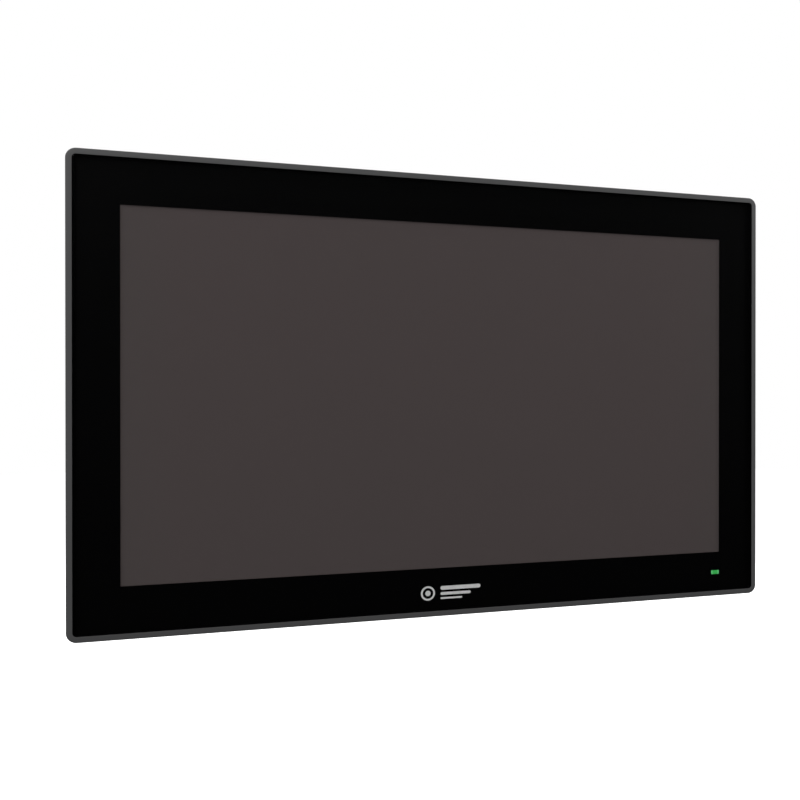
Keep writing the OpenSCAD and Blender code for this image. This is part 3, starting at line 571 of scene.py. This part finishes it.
def threadGrid(look):
    # radius is the core plus a rounded triangle of height minus angle, so the crest climbs one pitch a turn;
    # it fades in over the first one and a half pitches and out over the last 1.2 mm
    top = look["head"] - 0.2
    heights = np.arange(look["tip"] + 0.5, top, look["pitch"] / look["perPitch"])
    angle = np.arange(look["columns"]) * 2 * np.pi / look["columns"]
    phase = (heights[:, None] / look["pitch"] - angle[None, :] / (2 * np.pi)) % 1.0
    crest = 0.5 - 0.5 * np.cos(2 * np.pi * phase)
    fade = np.clip((heights - heights[0]) / (look["threadFade"] * look["pitch"]), 0, 1)
    fade *= np.clip((top - heights) / 1.2, 0, 1)
    radius = look["coreRadius"] + look["threadHeight"] * crest ** 0.8 * fade[:, None]
    return np.stack([radius * np.cos(angle), radius * np.sin(angle), heights[:, None] + 0 * radius], axis=-1)


def screwRings(look):
    # shank, then a ridged cap, then a six-sided socket whose wall is a / cos of the angle to the nearest flat
    tip, core, socket, columns = look["tip"], look["coreRadius"], look["socket"], look["columns"]
    head, top, r = look["head"], look["head"] + look["headTall"], look["headRadius"]
    deep = top - look["socketDepth"]
    sixth = np.pi / 3

    def ridged(radius, angle):
        return radius * (1 - look["ridgeDepth"] * (0.5 + 0.5 * np.cos(look["ridges"] * angle)))

    def sixSided(radius, angle):
        return radius * math.cos(sixth / 2) / np.cos((angle + sixth / 2) % sixth - sixth / 2)

    start = turnedRings([(0.01, tip), (core * 0.75, tip), (core, tip + 0.4)], columns)
    neck = turnedRings([(core + 0.2, head - 0.1), (core + 0.35, head), (r - 0.15, head), (r, head + 0.12)], columns)
    # a short row at each end of the ridges keeps their edges crisp along the whole side
    side = turnedRings([(r, head + 0.3), (r, head + 0.34), (r, top - 0.54), (r, top - 0.5)], columns, ridged)
    rounding = turnedRings([(r - 0.04, top - 0.35), (r - 0.14, top - 0.16), (r - 0.34, top - 0.03), (r - 0.6, top),
                            (socket + 0.3, top)], columns)
    walls = turnedRings([(socket + 0.08, top - 0.04), (socket, top - 0.2), (socket, deep)], columns, sixSided)
    floor = turnedRings([(socket * 0.5, deep - 0.25), (0.01, deep - 0.5)], columns)
    return np.concatenate([start, threadGrid(look), neck, side, rounding, walls, floor])


def footRings():
    # a flat shoe with a soft rim, a waist and a collar with three shallow grips
    rows = [(0.01, 7.0), (3.3, 7.0), (3.75, 7.08), (3.95, 7.25), (4.0, 7.5), (4.0, 8.3), (3.9, 8.5), (3.6, 8.62),
            (3.3, 8.8)]
    for k in range(3):
        rows += [(3.3, 9.2 + k), (3.1, 9.35 + k), (3.1, 9.65 + k), (3.3, 9.8 + k)]
    rows += [(3.3, 12.1), (3.15, 12.3), (2.9, 12.4), (2.2, 12.4), (2.08, 12.28), (2.08, 9.2), (0.01, 9.2)]
    return turnedRings(rows, 40)


screwGrid, shoeGrid = screwRings(clampLook), footRings()
for number, (turn, along, wall) in enumerate(clampSpots, 1):
    placed = [clampTurned(grid, turn, along, wall, clampLook["out"]) for grid in (screwGrid, shoeGrid)]
    addPiece(f"clampBolt{number}", [loftPart(placed[0])], nickelSteel, f"screw_{number}",
             (f"clamp_screw_{number}",), 38)
    addPiece(f"clampShoe{number}", [loftPart(placed[1])], nylonBlack, f"foot_{number}",
             (f"clamp_foot_{number}",), 38)
print("clamp screws and shoes ready")


# how a CAD part is copied with soft edges: lengths in metres, angles in degrees
easeLook = {"weld": 2e-6, "flat": 0.8, "crease": 28, "edgeFrom": 32, "segments": 2}


def easedCopy(name, node, finish, ease, body, slot):
    mesh = nodes[node].data.copy()
    mesh.name = name
    work = bmesh.new()
    work.from_mesh(mesh)
    bmesh.ops.remove_doubles(work, verts=work.verts, dist=easeLook["weld"])
    bmesh.ops.dissolve_limit(work, angle_limit=math.radians(easeLook["flat"]), verts=work.verts, edges=work.edges)
    bmesh.ops.recalc_face_normals(work, faces=work.faces)
    work.to_mesh(mesh)
    work.free()
    piece = addPiece(name, mesh, finish, body, (node,), easeLook["crease"])
    soften = piece.modifiers.new("softEdges", "BEVEL")
    soften.width = ease * mm
    soften.segments = easeLook["segments"]
    soften.limit_method = "ANGLE"
    soften.angle_limit = math.radians(easeLook["edgeFrom"])
    soften.use_clamp_overlap = True
    even = piece.modifiers.new("evenShade", "WEIGHTED_NORMAL")  # large flats stay flat beside small bores
    even.weight = 100
    even.keep_sharp = True
    return piece


easedParts = [  # piece, CAD node, finish, edge width in millimetres, body, slot
    ("rearShell", "rear_chassis", zincSheet, 0.35, "panel", "plated_steel"),
    ("supportRing", "support_frame", castFrameGrey, 0.3, "panel", "cast_frame"),
    ("boxShell", "box_base", boxPaint, 0.3, "panel", "box_paint"),
    ("finnedCover", "heatsink_cover", castBlack, 0.35, "panel", "cast_black"),
    ("coverScrews", "cover_screws", nickelSteel, 0.18, "panel", "screw_steel"),
    ("sideScrews", "chassis_screws", nickelSteel, 0.08, "panel", "screw_steel"),
    ("clampBlocks", "clamp_bodies", clampCast, 0.3, "panel", "clamp_cast"),
    ("cardDoor", "storage_door", darkPlastic, 0.22, "door", "dark_plastic"),
    ("networkSockets", "ethernet_ports", portNickel, 0.15, "panel", "port_shell"),
    ("serialSockets", "usb_ports", portNickel, 0.12, "panel", "port_shell"),
    ("videoSocket", "video_port", portNickel, 0.12, "panel", "port_shell"),
    ("pinPort", "serial_port", portNickel, 0.12, "panel", "port_shell"),
    ("powerInlet", "power_header", greenPlastic, 0.15, "panel", "green_plastic"),
    ("switchFrame", "switch_housing", darkPlastic, 0.25, "panel", "dark_plastic"),
    ("switchRocker", "switch_rocker", redPlastic, 0.3, "rocker", "red_plastic"),
    ("resetKey", "reset_button", palePlastic, 0.2, "button", "pale_plastic"),
    ("earthScrew", "ground_screw", turnedBrass, 0.2, "panel", "standoff_brass"),
]
for row in easedParts:
    easedCopy(*row)
print("eased", len(easedParts), "parts")

# the other nodes keep their own shape and take a finish
keptLook = {
    "border_print": blackInk, "glass_tape": blackTape, "touch_sensor": touchFilmPaintedFill, "lcd_front_frame": zincSheet,
    "lcd_cell": screenFilm, "diffuser_stack": whiteFilm, "light_guide": clearAcrylic, "lcd_back_tray": zincSheet,
    "lcd_brackets": zincSheet, "touch_controller": circuitGreen, "display_cable": amberFilm,
    "pan_screws": nickelSteel, "main_board": circuitGreen, "board_standoffs": turnedBrass, "processor": chipMould,
    "heat_spreader": milledMetal, "memory_module": circuitGreen, "backup_battery": nickelSteel,
    "card_cage": darkPlastic, "storage_card": cardShell, "door_hinge_pin": nickelSteel, "header_nuts": turnedBrass,
}
for node, finish in keptLook.items():
    mesh = nodes[node].data
    mesh.materials.clear()
    mesh.materials.append(finish)
print("finished", len(keptLook), "kept nodes")


def bars(rows):
    # each row is x from/to, y from/to, z from/to in millimetres: a bar whose outline has rounded corners
    parts = []
    for x0, x1, y0, y1, z0, z1 in rows:
        wide, tall = x1 - x0, z1 - z0
        loops = [[wide, tall, min(wide, tall) * 0.2, y, (x0 + x1) / 2, (z0 + z1) / 2] for y in (y0, y1)]
        parts.append(loftPart(roundedLoops(loops, 3)))
    return parts


def sideBySide(look, *spans):
    # one bar for each place along X, as wide as twice the half width, with the same y and z spans
    return [(x - look["half"], x + look["half"], *spans)
            for c in look["centres"] for x in (c + look["first"] + look["pitch"] * k for k in range(look["count"]))]


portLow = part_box("ethernet_ports")[0][2] / mm
lanPins = {"centres": (-38, -18), "first": -3.57, "pitch": 1.02, "count": 8, "half": 0.22}
usbPins = {"centres": (6, 24), "first": -3.75, "pitch": 2.5, "count": 4, "half": 0.5, "tongues": (40.5, 48.5)}
linkPins = {"centres": (-38, -18), "first": -5.6, "pitch": 11.2, "count": 2, "half": 1.3}
contactBars = sideBySide(lanPins, 39.65, 39.95, portLow + 2, portLow + 14.5)
for tongue in usbPins["tongues"]:
    contactBars += sideBySide(usbPins, tongue - 0.12, tongue + 0.02, portLow + 2.2, portLow + 11.5)
addPiece("socketContacts", bars(contactBars), goldContact)

linkLamps = makeLampFinish("linkLamps", {
    "centre": (-0.028, 0), "half": 0.02, "core": (0.5, 0.3, 0.03), "ends": (0.06, 0.42, 0.1),
    "cloud": (0.2, 0.4, 0.1), "power": 0.05})
linkBars = sideBySide(linkPins, 49.05, 50.35, portLow + 0.12, portLow + 0.38)
addPiece("linkWindows", bars(linkBars), linkLamps)

# blank data plates in the two recesses of the cover's pad
plateLook = {"wide": 78.4, "tall": 26.4, "radius": 1.6, "face": 68.26, "floor": 68.02, "ease": 0.06,
             "heights": (-30, 20)}


def plateParts(look):
    # rounded plates, each with a small chamfer round its face
    w, h, r, face, ease = look["wide"], look["tall"], look["radius"], look["face"], look["ease"]
    return [loftPart(roundedLoops([[w, h, r, look["floor"], 0, z], [w, h, r, face - ease, 0, z],
                                   [w - 2 * ease, h - 2 * ease, r - ease, face, 0, z]], 8))
            for z in look["heights"]]


addPiece("dataPlates", plateParts(plateLook), labelFilm)
print("small fittings ready")


# floor, light and camera
stageLook = {"floorHeight": -0.62, "floorRadius": 6.0, "floorColour": (0.86, 0.86, 0.86), "glow": 0.75,
             "rings": 24, "columns": 96}


def makeFloor(look):
    # polar grid: radius grows as the square of the row, so rings are close under the panel
    columns = look["columns"]
    rings = (np.linspace(0.02, 1, look["rings"]) ** 2) * look["floorRadius"]
    angle = np.arange(columns) * 2 * np.pi / columns
    grid = np.stack([rings[:, None] * np.cos(angle), rings[:, None] * np.sin(angle),
                     np.full((len(rings), columns), look["floorHeight"])], axis=-1)
    mesh = bpy.data.meshes.new("studioFloor")
    faces = gridFaces(len(rings), columns, False).tolist() + [np.arange(columns)[::-1].tolist()]
    mesh.from_pydata(grid.reshape(-1, 3).tolist(), [], faces)
    floor = bpy.data.objects.new("studioFloor", mesh)
    bpy.context.scene.collection.objects.link(floor)
    finish, tree, shader = startFinish("floorPaper")
    soft = noiseOf(tree, objectPoint(tree), 1.5, 2)
    tree.links.new(blendColour(tree, soft, tuple(c * 0.98 for c in look["floorColour"]), look["floorColour"]),
                   shader.inputs["Base Color"])
    shader.inputs["Roughness"].default_value = 0.9
    shader.inputs["Specular IOR Level"].default_value = 0.1
    shader.inputs["Emission Color"].default_value = (1, 1, 1, 1)
    shader.inputs["Emission Strength"].default_value = look["glow"]
    mesh.materials.append(finish)
    floor.visible_glossy = floor.visible_diffuse = False
    return floor


makeFloor(stageLook)

lampsLook = {
    "keyLeft": {"at": (-2.1, -1.9, 2.1), "size": (1.6, 1.6), "power": 78},
    "fillRight": {"at": (1.7, -0.75, 0.7), "size": (0.7, 1.1), "power": 11},
    "topStrip": {"at": (0.1, 0.15, 1.6), "size": (2.4, 1.5), "power": 13},
    "backLeft": {"at": (-1.3, 1.5, 1.2), "size": (2.5, 2.5), "power": 24},
    "backRight": {"at": (1.5, 1.4, 0.5), "size": (2.3, 2.3), "power": 15},
}
for name, lamp in lampsLook.items():
    data = bpy.data.lights.new(name, "AREA")
    data.shape = "RECTANGLE"
    data.size, data.size_y = lamp["size"]
    data.energy = lamp["power"]
    light = bpy.data.objects.new(name, data)
    light.location = lamp["at"]
    # tilted and turned so that the lamp faces the middle of the panel
    x, y, z = lamp["at"]
    light.rotation_euler = (math.acos(z / math.hypot(x, y, z)), 0, math.atan2(x, -y))
    bpy.context.scene.collection.objects.link(light)

# white to the camera; soft for diffuse light, and rising with height where it is mirrored
worldLook = {"seen": 1.0, "softLow": 0.26, "softHigh": 0.4, "mirrorLow": 0.04, "mirrorHigh": 0.36}
world = bpy.data.worlds.new("studioWorld")
bpy.context.scene.world = world
world.use_nodes = True
sky = world.node_tree
sky.nodes.clear()
skyPath = place(sky, "ShaderNodeLightPath")
skyPoint = place(sky, "ShaderNodeTexCoord")
skySplit = place(sky, "ShaderNodeSeparateXYZ")
sky.links.new(skyPoint.outputs["Generated"], skySplit.inputs[0])
skyRise = spread(sky, skySplit.outputs["Z"], worldLook["mirrorLow"], worldLook["mirrorHigh"], 0.15, 0.9)
skySoft = spread(sky, skySplit.outputs["Z"], worldLook["softLow"], worldLook["softHigh"], -0.6, 0.8)
skyMirror = place(sky, "ShaderNodeMix")
sky.links.new(skySoft, skyMirror.inputs[2])
sky.links.new(skyPath.outputs["Is Glossy Ray"], skyMirror.inputs[0])
sky.links.new(skyRise, skyMirror.inputs[3])
skySeen = place(sky, "ShaderNodeMix", {3: worldLook["seen"]})
sky.links.new(skyPath.outputs["Is Camera Ray"], skySeen.inputs[0])
sky.links.new(skyMirror.outputs[0], skySeen.inputs[2])
skyLight = place(sky, "ShaderNodeBackground", {"Color": (1, 1, 1, 1)})
sky.links.new(skySeen.outputs[0], skyLight.inputs["Strength"])
skyOut = place(sky, "ShaderNodeOutputWorld")
sky.links.new(skyLight.outputs[0], skyOut.inputs["Surface"])

cameraLook = {"at": (-0.1280, -0.5410, -0.0004), "turn": 13.45, "tilt": -0.16, "lens": 31.581, "sensor": 36,
              "shift": (-0.0625, -0.00225)}
cameraData = bpy.data.cameras.new("frontCamera")
cameraData.sensor_width = cameraLook["sensor"]
cameraData.lens = cameraLook["lens"]
cameraData.shift_x, cameraData.shift_y = cameraLook["shift"]
cameraData.clip_start, cameraData.clip_end = 0.01, 50
camera = bpy.data.objects.new("frontCamera", cameraData)
camera.location = cameraLook["at"]
camera.rotation_euler = (math.radians(90 + cameraLook["tilt"]), 0, -math.radians(cameraLook["turn"]))
bpy.context.scene.collection.objects.link(camera)
bpy.context.scene.camera = camera
bpy.context.scene.view_settings.view_transform = "Standard"
print("stage ready")

bpy.context.view_layer.update()
